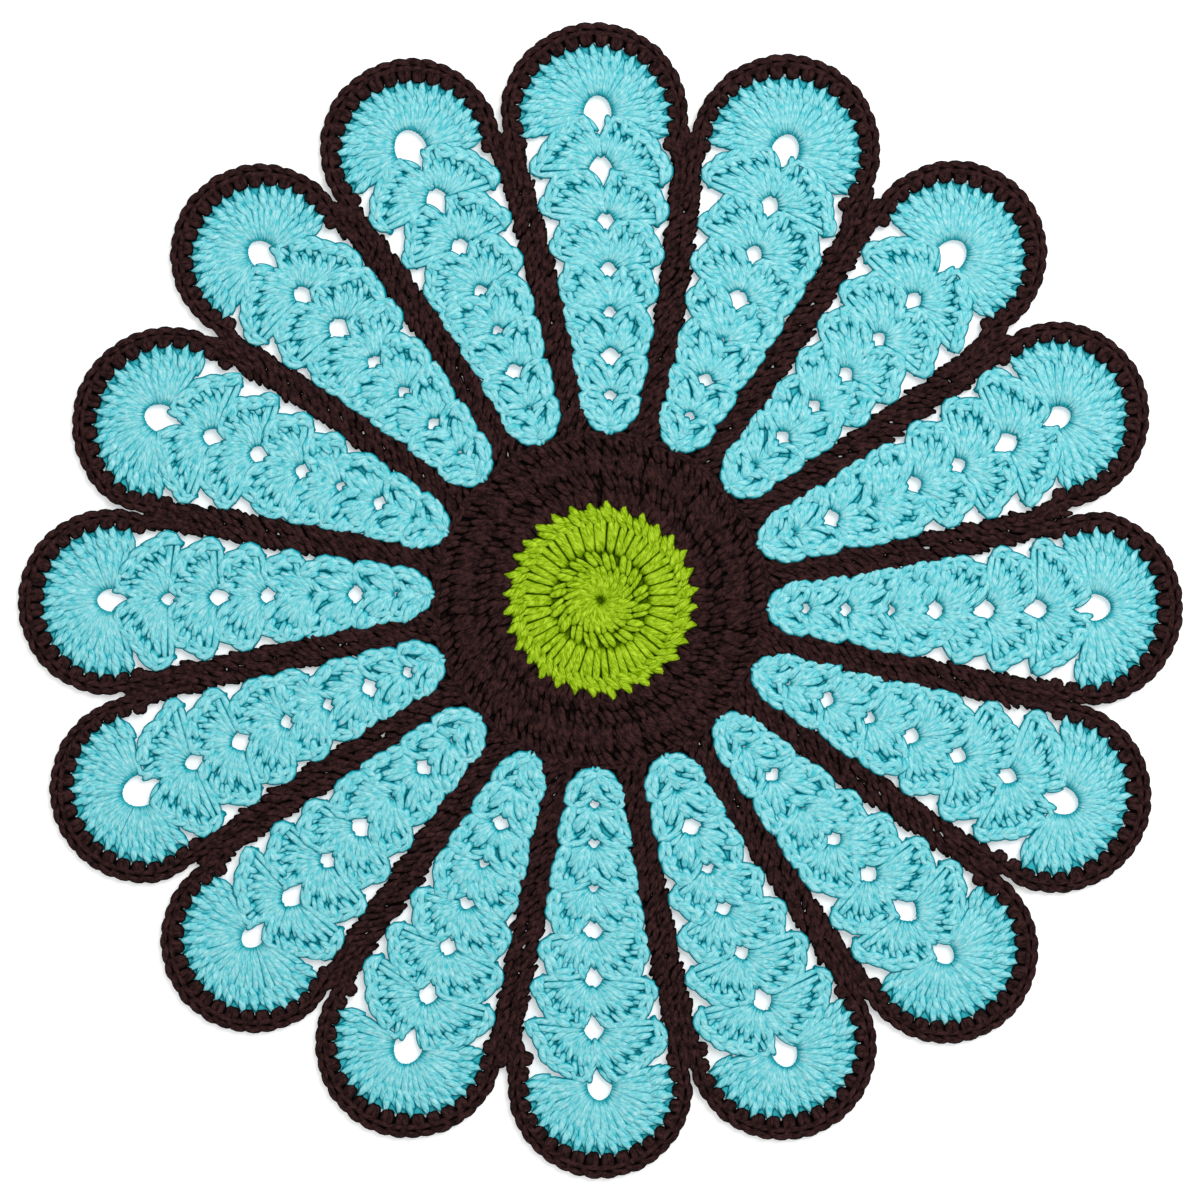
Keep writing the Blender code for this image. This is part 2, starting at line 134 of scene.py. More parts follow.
NECK = 58.0  # how far out the pattern stays put when it is stretched to a petal's length
ROOT = 55.0  # how far out the petals begin
ROW_EYE = ROWS[-1].out
LAST_ROW = len(ROWS) - 1  # of the end fan
FIRST_GAP = len(ROWS) - len(OPENINGS[0].left)  # the first row that may have gaps beside it
DIMPLE = 0.5  # depth of the dip between two shells where no gap shows

FIRST_HOLE = 0.6, 1.0  # length and breadth of the spot that the first row rises from

# Yarn stands over the edges of an opening, so it's laid out larger by these.
HOLE_ROOM = 1.0
GAP_ROOM = 2.3
SPAN_ROOM, LAST_SPAN_ROOM = 4.4, 3.9
SPAN_SHARE = 1.2  # length of a side gap over its depth
LAST_SPAN_SHARE = {True: 1.0, False: 1.45}  # of the last gap, left and right


def along(angle):
    """Unit vectors outwards along a ray, and anticlockwise across it."""
    turn = math.radians(angle)
    return Vector((math.cos(turn), math.sin(turn))), Vector((-math.sin(turn), math.cos(turn)))


def placed(angle, out, across):
    """A point some way out along a ray and across it."""
    ray, side = along(angle)
    return ray * out + side * across


def seam_drift(index, out):
    """How far the seam after this petal lies off its ray."""
    petal = PETALS[index % PETAL_COUNT]
    t = (min(out, SEAM_OUT) - SEAM_IN) / (SEAM_OUT - SEAM_IN)
    near, middle, far = (2 * t - 1) * (t - 1), 4 * t * (1 - t), t * (2 * t - 1)
    return petal.seam_in * near + petal.seam_mid * middle + petal.seam_out * far


def seam_point(index, left, out, inset):
    """A point beside the seam on one side of a petal, inset from the seam towards the petal."""
    seam = index if left else index - 1
    across = seam_drift(seam, out) - inset if left else seam_drift(seam, out) + inset
    return placed((seam + 0.5) * PITCH, out, across)


def band_width(out):
    """How broad a band is beside its petal, this far out."""
    if out < NECK_OUT:
        return BAND_NECK + (BAND_ROOT - BAND_NECK) * (NECK_OUT - out) / (NECK_OUT - BROWN_RIM)
    grown = min(1.0, (out - NECK_OUT) / (SIDE_OUT - NECK_OUT))
    return BAND_NECK + (BAND_SIDE - BAND_NECK) * grown


def tip_centre(index):
    """The middle of a petal's round end."""
    petal = PETALS[index]
    return placed(index * PITCH, petal.reach - petal.breadth, petal.shift)


def tip_reach(index, turn):
    """Distance from the tip's centre to the band's outer edge, or to the seam where that comes first."""
    centre = tip_centre(index)
    radius = PETALS[index].breadth
    left = turn > 0
    ray, _ = along(index * PITCH + turn)
    seam = index if left else index - 1
    _, across = along((seam + 0.5) * PITCH)
    towards = ray.dot(across) * (1 if left else -1)
    if towards <= 0:
        return radius
    room = seam_drift(seam, SEAM_OUT) - centre.dot(across)
    room = (room if left else -room) - GAP / 2
    return min(radius, room / towards)


def tip_width(turn):
    """How broad a band is round its petal's tip, this many degrees from it."""
    near_tip = (1 + math.cos(math.pi * min(abs(turn) / TIP_TURN, 1.0))) / 2
    return BAND_SIDE + (BAND_TIP - BAND_SIDE) * near_tip


def row_place(index, out):
    """How far out and across a place on a petal's middle line is, from its place on the pattern petal."""
    petal = PETALS[index]
    share = (out - NECK) / (ROW_EYE - NECK)
    true_out = NECK + (petal.eye - NECK) * share
    drift = (seam_drift(index, true_out) + seam_drift(index - 1, true_out)) / 2
    return true_out, petal.lean if out >= ROW_EYE else drift


def edge_point(index, left, out, depth=0.0):
    """A point on the petal's side, or some depth in from it."""
    return seam_point(index, left, out, GAP / 2 + band_width(out) + depth)


def side_place(index, left, number):
    """How far out the gap beside a row's foot is."""
    petal = PETALS[index]
    where, _ = row_place(index, ROWS[number].side)
    if FIRST_GAP <= number < LAST_ROW:
        where += petal.slide_left if left else petal.slide_right
    return where


def side_gap(index, left, number):
    """How deep the gap beside a row's foot is, and how far it runs along the petal's side."""
    if number < FIRST_GAP:
        return DIMPLE, 0.0
    openings = OPENINGS[index]
    depth = (openings.left if left else openings.right)[number - FIRST_GAP]
    if not depth:
        return DIMPLE, 0.0
    if number == LAST_ROW:
        return depth + GAP_ROOM, depth * LAST_SPAN_SHARE[left] + LAST_SPAN_ROOM
    return depth + GAP_ROOM, depth * SPAN_SHARE + SPAN_ROOM


def hole_size(index, number):
    """Length along the petal and breadth across it of a row's hole."""
    if number == 0:
        return FIRST_HOLE
    size = OPENINGS[index].holes[number - 1] + HOLE_ROOM
    root = math.sqrt(ROWS[number].stretch)
    return size * root, size / root


# Paths --------------------------------------------------------------


def smooth_path(points, steps=6):
    """A Catmull-Rom curve through the points."""
    p = np.array([tuple(point) for point in points])
    p = np.vstack([2 * p[0] - p[1], p, 2 * p[-1] - p[-2]])
    made = [p[1]]
    for a, b, c, d in zip(p, p[1:], p[2:], p[3:]):
        for step in range(1, steps + 1):
            t = step / steps
            square = (2 * a - 5 * b + 4 * c - d) * t**2
            cube = (3 * b - a - 3 * c + d) * t**3
            made.append(0.5 * (2 * b + (c - a) * t + square + cube))
    return np.array(made)


def measured(path):
    """Distance along a path at each of its points."""
    return np.concatenate([[0.0], np.cumsum(np.linalg.norm(np.diff(path, axis=0), axis=1))])


NEARBY = 0.4  # how far to each side a path is looked at to find its direction


def at(path, distance):
    """Places at these distances along a path, or straight on past its ends, and unit vectors along it."""
    gone = measured(path)
    distance = np.atleast_1d(distance)
    inside = np.clip(distance, NEARBY, gone[-1] - NEARBY)

    def places(where):
        return np.stack([np.interp(where, gone, path[:, axis]) for axis in range(2)], axis=1)

    ahead = places(inside + NEARBY) - places(inside - NEARBY)
    ahead /= np.linalg.norm(ahead, axis=1)[:, None]
    return places(inside) + ahead * (distance - inside)[:, None], ahead


# Stitches -----------------------------------------------------------

# A strand's places in plan, their heights, and its thickness at each, as a share of the yarn's.
Strand = namedtuple("Strand", "places heights radii")
LEG_POINTS = 6
SHORT_POINTS = 5
TURN_LENGTH = 6.4  # of one turn round a tall stitch
TURN_STEP = 0.69  # from one turn to the next, as a share of its length
POST_SHORT = 3.4  # how far short of a tall stitch's head its two strands end

# The leaves of yarn that make a turn: the plump one, and the lower one that may lie beside it.
# beside: how far off the stitch's middle line. rise: how much higher its middle is than its ends.
Leaf = namedtuple("Leaf", "beside thick rise points")
PLUMP_LEAF = Leaf(0.35, 1.27, 0.75, LEG_POINTS)
LOWER_LEAF = Leaf(-1.45, 0.92, 0.3, SHORT_POINTS)


def eased(t, start, end):
    """0 up to start, 1 from end on, and smooth between."""
    x = np.clip((t - start) / (end - start), 0, 1)
    return x * x * (3 - 2 * x)


def tall_stitch(
    foot,
    head,
    rng,
    thin=0.4,
    point=False,
    spread=1.0,
    lean=1.0,
    turns=2,
    low=2.2,
    brim=0.0,
    plump=1.0,
    paired=1,
    turn_length=TURN_LENGTH,
):
    """A tall stitch: two strands up from its foot, and above them the turns that wrap it, aslant.

    Each turn is a plump leaf of yarn, and as many of the outermost as paired says have a lower leaf beside
    them. With point, the last turn runs out to a point. As shares of what is usual, thin is how thin and near
    together the two strands start, spread how far apart they run, lean how far the turns slant, and plump how
    thick it all is. low is the strands' height, and brim how much higher they start, at a hole's rim.
    """
    foot, head = np.array(foot), np.array(head)
    run = head - foot
    length = np.linalg.norm(run)
    ahead = run / length
    side = np.array([-ahead[1], ahead[0]])
    sway = rng.uniform(-0.45, 0.45)
    base = low + rng.uniform(-0.15, 0.2)
    plump = plump * rng.uniform(0.94, 1.06)

    def place(gone, across):
        bow = sway * np.sin(math.pi * np.clip(gone / length, 0, 1))
        return foot + ahead * gone[:, None] + side * (across + bow)[:, None]

    t = np.linspace(0, 1, LEG_POINTS)
    strands = []
    for hand in (1, -1):
        gone = max(length - POST_SHORT + rng.uniform(-0.8, 0.8), 0.6 * length) * t
        apart = spread * (thin + (0.95 - thin) * eased(gone / length, 0, 0.6)) * (1 - 0.3 * eased(t, 0.7, 1))
        thick = plump * np.interp(t, (0, 0.15, 0.6, 0.85, 1), (thin + 0.1, 0.5 + 0.6 * thin, 1.08, 0.95, 0.5))
        height = base + 0.5 * np.sin(math.pi * np.clip(t / 0.85, 0, 1)) - 0.35 * (1 - eased(t, 0, 0.16))
        height = height + brim * (1 - eased(t, 0.1, 0.7))
        height = height - 0.5 * eased(t, 0.7, 1) + rng.uniform(-0.1, 0.1)
        strands.append(Strand(place(gone, hand * apart + rng.uniform(-0.1, 0.1)), height, thick))
    for number in range(turns):
        ends = point and number == 0
        centre = length - turn_length / 2 + (1.5 if point else 1.3) - TURN_STEP * turn_length * number
        centre = max(centre + rng.uniform(-0.45, 0.45), 0.3 * length)
        slant = lean * (2.4 + rng.uniform(-0.5, 0.5))
        wide = min(1.0, 0.72 + 0.28 * centre / length)
        leaves = (PLUMP_LEAF, LOWER_LEAF) if number < paired else (PLUMP_LEAF,)
        for beside, thick, rise, points in leaves:
            step = np.linspace(-0.5, 0.5, points)
            bow = np.cos(math.pi * step)
            gone = centre + min(turn_length, 0.8 * length + 1) * rng.uniform(0.88, 1.06) * step
            across = slant * step + beside * spread
            radii = wide * plump * thick * (0.44 + 0.56 * bow**0.7)
            heights = base + 0.1 + rise * bow + rng.uniform(-0.12, 0.12)
            if ends:
                gone = gone + 0.3 * turn_length * (step - 0.5) - (1.5 if beside < 0 else 0.0)
                across = across * (1 - 0.7 * eased(step, 0.0, 0.5))
                heights = heights - 0.4 * eased(step, 0.1, 0.5)
                radii = radii * (1 - 0.78 * eased(step, -0.1, 0.5))
            strands.append(Strand(place(gone, across), heights, radii))
    return strands


def leg(path, start, end, swing, rng, heights, thick, taper=0.5):
    """One leaf-shaped leg of a stitch, laid along a path, and thinner at its ends by taper.

    swing is how far to the left of the path it is at its start, middle and end.
    """
    t = np.linspace(0, 1, LEG_POINTS)
    middle, ahead = at(path, start + (end - start) * t)
    side = np.stack([-ahead[:, 1], ahead[:, 0]], axis=1)
    first, half, last = swing
    arc = first * (2 * t - 1) * (t - 1) + half * 4 * t * (1 - t) + last * t * (2 * t - 1)
    places = middle + side * (arc * rng.uniform(0.9, 1.1))[:, None]
    rise = np.interp(t, (0, 0.3, 0.65, 1), heights) + rng.uniform(-0.12, 0.12)
    radii = thick * (1 - taper + taper * np.sin(math.pi * t) ** 0.7) * rng.uniform(0.95, 1.06)
    return Strand(places, rise, radii)


def chain(path, rng, swings, heights, thick, pitch=STITCH, reach=1.42):
    """A braid of V stitches along a path: each leg rises from under the one before and lies on the next.

    reach is the length of a leg over the pitch of the stitches.
    """
    gone = measured(path)[-1]
    count = max(1, round(gone / pitch))
    pitch = gone / count
    strands = []
    for stitch in range(count):
        start = (stitch - 0.3) * pitch + rng.uniform(-0.2, 0.2)
        for swing in swings:
            strands.append(leg(path, start, start + reach * pitch, swing, rng, heights, thick))
    return strands


EDGING_SPREAD = 1.05  # from the middle of an edging stitch to each of its legs


def short_stitch(head, inward, reach, rng):
    """The two legs of an edging stitch: from under its chain, over the fabric's edge and down, closing in."""
    t = np.array((0, 0.35, 0.65, 0.84, 0.95, 1.0))
    reach = reach * rng.uniform(0.92, 1.08)
    inward = np.array(inward)
    side = np.array([-inward[1], inward[0]])
    strands = []
    for hand in (1, -1):
        out = hand * EDGING_SPREAD * (1 - 0.4 * eased(t, 0.4, 1.0)) + rng.uniform(-0.15, 0.15)
        places = np.array(head) + inward * (reach * t)[:, None] + side * out[:, None]
        heights = 2.75 + 0.5 * np.sin(math.pi * t) - 0.3 * eased(t, 0.75, 1.0)
        radii = np.array((1.15, 1.3, 1.3, 1.15, 0.85, 0.4)) * rng.uniform(0.95, 1.05)
        strands.append(Strand(places, heights + rng.uniform(-0.1, 0.1), radii))
    return strands


SLANTED_LOW = 2.2  # height of a slanted leg's ends


def slanted_leg(place, ahead, slant, length, rng, thick, high=3.0):
    """A short leg laid aslant of the way the edging runs, as where two edgings are worked together."""
    t = np.linspace(-0.5, 0.5, SHORT_POINTS)
    ahead = np.array(ahead)
    side = np.array([-ahead[1], ahead[0]])
    turn = math.radians(slant + rng.uniform(-14, 14))
    way = ahead * math.cos(turn) + side * math.sin(turn)
    bow = np.array([-way[1], way[0]]) * rng.uniform(-0.5, 0.5)
    length = length * rng.uniform(0.85, 1.2)
    shift = ahead * rng.uniform(-0.45, 0.45) + side * rng.uniform(-0.3, 0.3)
    places = np.array(place) + shift + way * (length * t)[:, None] + bow * np.cos(math.pi * t)[:, None]
    heights = SLANTED_LOW + (high - SLANTED_LOW) * np.cos(math.pi * t) ** 0.7 + rng.uniform(-0.35, 0.35)
    radii = thick * (0.5 + 0.5 * np.cos(math.pi * t) ** 0.6) * rng.uniform(0.85, 1.15)
    return Strand(places, heights, radii)


# Making meshes ------------------------------------------------------


BATCH = 2.5  # strands whose lengths round to the same multiple of this are made together
STRAND_TURN = 0.37  # of a turn, from one strand's plies to the next one's


def link(name, mesh, material):
    """An object of a mesh, in one material."""
    piece = bpy.data.objects.new(name, mesh)
    bpy.context.scene.collection.objects.link(piece)
    mesh.materials.clear()
    mesh.materials.append(material)
    return piece


def yarn_mesh(strands, length):
    """Strands alike in length and points, as tubes. Their UV map is the plies' turns along and round them."""
    curve = bpy.data.curves.new("yarn", "CURVE")
    curve.dimensions = "3D"
    curve.bevel_depth = YARN / 2 * MM
    curve.bevel_resolution = 1
    curve.use_fill_caps = True
    for strand in strands:
        spline = curve.splines.new("POLY")
        count = len(strand.heights)
        spline.points.add(count - 1)
        four = np.ones((count, 4))
        four[:, :2] = strand.places * MM
        four[:, 2] = strand.heights * MM
        spline.points.foreach_set("co", four.ravel())
        spline.points.foreach_set("radius", strand.radii)
    holder = bpy.data.objects.new("yarn", curve)
    bpy.context.scene.collection.objects.link(holder)
    bpy.context.view_layer.update()
    graph = bpy.context.evaluated_depsgraph_get()
    mesh = bpy.data.meshes.new_from_object(holder.evaluated_get(graph))
    bpy.data.objects.remove(holder)
    bpy.data.curves.remove(curve)
    layer = mesh.uv_layers[0].data
    flat = np.empty(len(layer) * 2)
    layer.foreach_get("uv", flat)
    turns = flat.reshape(len(strands), -1, 2)[:, :, 0]
    turns *= length / PLY_PITCH
    turns += STRAND_TURN * np.arange(len(strands))[:, None]
    layer.foreach_set("uv", flat)
    return mesh


def strand_length(strand):
    steps = np.column_stack([np.diff(strand.places, axis=0), np.diff(strand.heights)])
    return float(np.linalg.norm(steps, axis=1).sum())


def make_yarn(name, strands, material):
    """All of a piece's strands as one mesh, batch by batch of like length."""
    batches = {}
    for strand in strands:
        size = max(round(strand_length(strand) / BATCH), 1)
        batches.setdefault((size, len(strand.heights)), []).append(strand)
    bm = bmesh.new()
    for size, points in sorted(batches):
        mesh = yarn_mesh(batches[size, points], size * BATCH)
        bm.from_mesh(mesh)
        bpy.data.meshes.remove(mesh)
    bmesh.ops.remove_doubles(bm, verts=bm.verts, dist=1e-7)
    mesh = bpy.data.meshes.new(name)
    bm.to_mesh(mesh)
    bm.free()
    mesh.shade_smooth()
    return link(name, mesh, material)


# Heights of the cloth among the stitches: thin, so that the yarn stands out of it both ways.
GROUND_LOW, GROUND_HIGH = 2.0, 2.2
THINNED = 0.05  # its thickness over that of the solids


def make_slabs(name, strips, material):
    """The cloth behind the stitches: a thin closed slab between each pair of lines."""
    bm = bmesh.new()
    for near, far in strips:
        corners = []
        for line in (near, far):
            for height in (GROUND_LOW, GROUND_HIGH):
                corners.append([bm.verts.new((x * MM, y * MM, height * MM)) for x, y in line])
        near_low, near_high, far_low, far_high = corners
        sides = ((near_low, near_high), (near_high, far_high), (far_high, far_low), (far_low, near_low))
        for first, second in sides:
            for here, there in zip(range(len(near) - 1), range(1, len(near))):
                bm.faces.new((first[here], first[there], second[there], second[here]))
        for end in (0, -1):
            bm.faces.new((near_low[end], near_high[end], far_high[end], far_low[end]))
    bmesh.ops.recalc_face_normals(bm, faces=bm.faces)
    return finish_ground(name, bm, material)


def finish_ground(name, bm, material):
    """The cloth's object, and the area of its upper side."""
    mesh = bpy.data.meshes.new(name)
    bm.to_mesh(mesh)
    area = sum(face.calc_area() for face in bm.faces if face.normal.z > 0.5)
    bm.free()
    return link(name, mesh, material), area


def make_ground(name, node, material, inset, low):
    """The cloth among the stitches: the node's own plan, thinned, and drawn in (or let out) at its edges."""
    bm = bmesh.new()
    bm.from_mesh(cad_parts[node].data)
    bmesh.ops.remove_doubles(bm, verts=bm.verts, dist=1e-6)
    bm.normal_update()
    moves = {}
    for vert in bm.verts:
        walls = [face.normal for face in vert.link_faces if abs(face.normal.z) < 0.3]
        if walls:
            out = sum(walls, Vector((0, 0, 0)))
            out.z = 0
            moves[vert] = out.normalized() * -inset * MM
    for vert, move in moves.items():
        vert.co += move
    for vert in bm.verts:
        vert.co.z = low * MM + vert.co.z * THINNED
    return finish_ground(name, bm, material)


# Materials ----------------------------------------------------------


def linear(hex_colour):
    """An sRGB hex colour as linear RGBA."""
    parts = [int(hex_colour[start : start + 2], 16) / 255 for start in (1, 3, 5)]
    return (*[p / 12.92 if p <= 0.04045 else ((p + 0.055) / 1.055) ** 2.4 for p in parts], 1.0)


def add(tree, kind, settings=None, links=None):
    """Adds a node, with its sockets and properties set, and its inputs linked."""
    node = tree.nodes.new(kind)
    for key, value in (settings or {}).items():
        if isinstance(key, int) or key in node.inputs:
            node.inputs[key].default_value = value
        else:
            setattr(node, key, value)
    for key, source in (links or {}).items():
        tree.links.new(source, node.inputs[key])
    return node


CLOTH_MIDDLE = (GROUND_LOW + GROUND_HIGH) / 2 * MM
PLY_SHADE_SHARE = 0.14  # how far the roundness of a ply sets its tone: painted shade in the grooves between plies, painted light on their crowns


def cotton_yarn(name, deep, middle, light, gloss, mottle, streaks):
    """Mercerised worsted cotton, plied and worked tight: soft and matt, with fine fibres along the plies.

    Its colour is painted light and shade: fullest and deepest, as painted shade, where the yarn faces
    sideways or lies low down in the turns of the stitches, and palest, as painted light, where it faces up and
    stands clear on top. gloss is how strong its shine is, mottle how much its colour varies in patches, and
    streaks how much from fibre to fibre.
    """
    material = bpy.data.materials.new(name)
    material.use_nodes = True
    tree = material.node_tree
    shader = tree.nodes["Principled BSDF"]
    where = add(tree, "ShaderNodeTexCoord")
    surface = add(tree, "ShaderNodeNewGeometry")
    yarn = add(tree, "ShaderNodeSeparateXYZ", links={"Vector": where.outputs["UV"]})
    # One turn of the UV is one turn of the plies, so each ply is a band on the slant.
    slant = add(tree, "ShaderNodeMath", {"operation": "ADD"}, {0: yarn.outputs["X"], 1: yarn.outputs["Y"]})
    bands = add(tree, "ShaderNodeMath", {"operation": "MULTIPLY", 1: PLIES}, {0: slant.outputs[0]})
    ply = add(tree, "ShaderNodeMath", {"operation": "PINGPONG", 1: 0.5}, {0: bands.outputs[0]})
    # Fibres half a millimetre apart round the yarn, coarser than real ones so that they show.
    laid = add(tree, "ShaderNodeCombineXYZ", links={"X": slant.outputs[0], "Y": yarn.outputs["X"]})
    drawn = add(tree, "ShaderNodeVectorMath", {"operation": "MULTIPLY", 1: (16, 6, 1)}, {0: laid.outputs[0]})
    settings = {"Scale": 1.0, "Detail": 3.0, "Roughness": 0.65}
    fibres = add(tree, "ShaderNodeTexNoise", settings, {"Vector": drawn.outputs[0]})
    settings = {"Scale": 450.0, "Detail": 4.0, "Roughness": 0.62}
    patches = add(tree, "ShaderNodeTexNoise", settings, {"Vector": where.outputs["Object"]})
    normal = add(tree, "ShaderNodeSeparateXYZ", links={"Vector": surface.outputs["Normal"]})
    place = add(tree, "ShaderNodeSeparateXYZ", links={"Vector": where.outputs["Object"]})
    # Painted light and shade, the same on the back as on the front: yarn is painted palest where it faces out
    # and stands clear of the cloth, either way, and deeper where it faces sideways or lies close to the cloth.
    level = add(tree, "ShaderNodeMath", {"operation": "ABSOLUTE"}, {0: normal.outputs["Z"]})
    above = add(tree, "ShaderNodeMath", {"operation": "SUBTRACT", 1: CLOTH_MIDDLE}, {0: place.outputs["Z"]})
    clear = add(tree, "ShaderNodeMath", {"operation": "ABSOLUTE"}, {0: above.outputs[0]})
    # Painted shade where the yarn faces sideways, painted light where it faces up.
    settings = {"interpolation_type": "SMOOTHSTEP", "From Min": 0.1, "From Max": 0.9, "To Min": 0.2}
    facing_shade = add(tree, "ShaderNodeMapRange", settings, {"Value": level.outputs[0]})
    # Painted shade where the yarn lies low by the cloth, down in the turns of the stitches.
    settings = {"interpolation_type": "SMOOTHSTEP", "From Min": -0.0003, "From Max": 0.0015, "To Min": 0.15}
    height_shade = add(tree, "ShaderNodeMapRange", settings, {"Value": clear.outputs[0]})
    # The painted light: high only where the yarn both faces up and stands clear of the cloth.
    top = add(tree, "ShaderNodeMath", {"operation": "MULTIPLY"}, {0: facing_shade.outputs[0], 1: height_shade.outputs[0]})
    # Both noises are a half in the mean, so half of each one's share is taken off first.
    start = -0.13 - mottle / 2 - streaks / 2
    tone = add(tree, "ShaderNodeMath", {"operation": "MULTIPLY_ADD", 1: 0.8, 2: start}, {0: top.outputs[0]})
    for part, share in ((fibres, streaks), (patches, mottle), (ply, PLY_SHADE_SHARE)):
        settings = {"operation": "MULTIPLY_ADD", 1: share}
        tone = add(tree, "ShaderNodeMath", settings, {0: part.outputs[0], 2: tone.outputs[0]})
    # The ramp turns painted light and shade, with the tone of fibres, patches and plies, into colour: its first
    # colour is painted shade, its last painted highlight.
    shades = add(tree, "ShaderNodeValToRGB", links={"Fac": tone.outputs[0]})
    shades.color_ramp.elements.new(0.5)
    for element, stop, colour in zip(shades.color_ramp.elements, (0.25, 0.56, 0.94), (deep, middle, light)):
        element.position = stop
        element.color = linear(colour)
    tree.links.new(shades.outputs["Color"], shader.inputs["Base Color"])
    settings = {"operation": "MULTIPLY_ADD", 1: 0.8}
    relief = add(tree, "ShaderNodeMath", settings, {0: ply.outputs[0], 2: fibres.outputs[0]})
    bumped = add(tree, "ShaderNodeBump", {"Strength": 0.8, "Distance": 0.0004}, {"Height": relief.outputs[0]})
    tree.links.new(bumped.outputs["Normal"], shader.inputs["Normal"])
    shader.inputs["Roughness"].default_value = 0.8
    shader.inputs["IOR"].default_value = 1.45
    shader.inputs["Specular IOR Level"].default_value = gloss
    return material


def plain_cloth(name, colour):
    """The same cotton deep between the stitches, where only its shade shows."""
    material = bpy.data.materials.new(name)
    material.use_nodes = True
    tree = material.node_tree
    shader = tree.nodes["Principled BSDF"]
    where = add(tree, "ShaderNodeTexCoord")
    settings = {"Scale": 900.0, "Detail": 2.0}
    noise = add(tree, "ShaderNodeTexNoise", settings, {"Vector": where.outputs["Object"]})
    settings = {"Strength": 0.4, "Distance": 0.0003}
    bumped = add(tree, "ShaderNodeBump", settings, {"Height": noise.outputs["Fac"]})
    tree.links.new(bumped.outputs["Normal"], shader.inputs["Normal"])
    shader.inputs["Base Color"].default_value = linear(colour)
    shader.inputs["Roughness"].default_value = 0.9
    shader.inputs["Specular IOR Level"].default_value = 0.05
    return material


# Each yarn's colours: painted shade down in the turns, its own middle colour, and painted highlight on the
# tops.
LIME = cotton_yarn("lime cotton yarn", "#3a5a00", "#759b00", "#c0e13a", 0.02, 0.5, 1.2)
BROWN = cotton_yarn("dark brown cotton yarn", "#0b0605", "#1d1010", "#432828", 0.05, 1.1, 1.0)
AQUA = cotton_yarn("aqua cotton yarn", "#008fa0", "#3cbdc8", "#bfeff2", 0.05, 0.5, 0.65)
LIME_GROUND = plain_cloth("lime cotton ground", "#506f00")
BROWN_GROUND = plain_cloth("dark brown cotton ground", "#1c1110")
AQUA_GROUND = plain_cloth("aqua cotton ground", "#3cbbc6")

# Petals -------------------------------------------------------------

CHAIN_INSET = {True: 2.0, False: 2.3}  # from a shell's rim to the middle of its chain, left and right
CHAIN_SHARE = 0.66  # of a shell's rim, from the petal's side, that shows its chain
GAP_BEYOND = 0.46  # of a side gap's length that lies further out than its place
FAN_TURN = 110.0  # degrees to each side of the petal's tip that the end fan and its edging may reach
FAN_OVER = {True: 8, False: 2}  # degrees that the fan reaches over the last gap, left and right
KITE = 1.25  # 2 for round holes, 1 for ones with straight sides
KITE_REACH, ROUND_REACH = 0.54, 0.5  # from a hole's middle to its rim, over its length or breadth
FINE_ROWS = 4  # from this row on, a shell's stitches have two finer turns, and not one plump one


def shell_rim(index, left, number):
    """The rim of one shell: from the petal's side, up and over its shoulder, to the foot of the next hole."""
    angle = index * PITCH
    sign = 1 if left else -1
    side = side_place(index, left, number)
    next_side = side_place(index, left, number + 1)
    hole_out, hole_across = row_place(index, ROWS[number + 1].out)
    length, breadth = hole_size(index, number + 1)
    _, span = side_gap(index, left, number)
    depth, next_span = side_gap(index, left, number + 1)
    low = side + GAP_BEYOND * span if span else side - 1.2
    high = next_side - 0.5 * next_span
    points = []
    if number == 0:
        _, root_across = row_place(index, NECK)
        points.append(placed(angle, ROOT + 0.4, root_across + sign * 1.4))
        points.append(placed(angle, ROOT + 1.4, root_across + sign * 4.2))
        points.append(edge_point(index, left, 61.0, 0.3))
    else:
        points.append(edge_point(index, left, low, 0.2))
        points.append(edge_point(index, left, low * 0.7 + high * 0.3, -0.7))
    points.append(edge_point(index, left, low * 0.3 + high * 0.7, -0.8))
    points.append(edge_point(index, left, high, -0.2))
    if next_span:
        points.append(edge_point(index, left, next_side - 0.1 * next_span, 0.5 * depth))
    notch = edge_point(index, left, next_side + 0.34 * next_span, depth)
    points.append(notch)
    flank = hole_across + sign * (breadth / 2 + 0.4)
    flank_out = hole_out - length * 0.02
    reach = abs((notch - placed(angle, next_side, flank)).dot(along(angle)[1]))
    notch_out = notch.dot(along(angle)[0])
    shoulder_out = notch_out * 0.45 + flank_out * 0.55 + 0.06 * reach
    points.append(placed(angle, shoulder_out, flank + sign * 0.5 * reach))
    points.append(placed(angle, flank_out, flank + sign * 0.8))
    points.append(placed(angle, hole_out - length * 0.28, hole_across + sign * (breadth / 4 + 0.7)))
    points.append(placed(angle, hole_out - length / 2 - 0.5, hole_across + sign * 0.3))
    return smooth_path(points)


def drawn_in(path, centre, inset):
    """A path drawn in towards a centre."""
    towards = np.array(centre) - path
    return path + towards / np.linalg.norm(towards, axis=1)[:, None] * inset


def hole_foot(index, number, towards):
    """The point of a hole's rim that lies towards another point."""
    out, across = row_place(index, ROWS[number].out)
    length, breadth = hole_size(index, number)
    centre = placed(index * PITCH, out, across)
    ray, side = along(index * PITCH)
    way = Vector(towards) - centre
    turn = math.atan2(way.dot(side) / breadth, way.dot(ray) / length)
    reach = ROUND_REACH
    if number < LAST_ROW:
        reach = KITE_REACH * (abs(math.cos(turn)) ** KITE + abs(math.sin(turn)) ** KITE) ** (-1 / KITE)
    return centre + ray * (math.cos(turn) * length * reach) + side * (math.sin(turn) * breadth * reach)


def evenly(line, count):
    """A line of as many points as asked, evenly spaced."""
    return at(line, np.linspace(0, measured(line)[-1], count))[0]


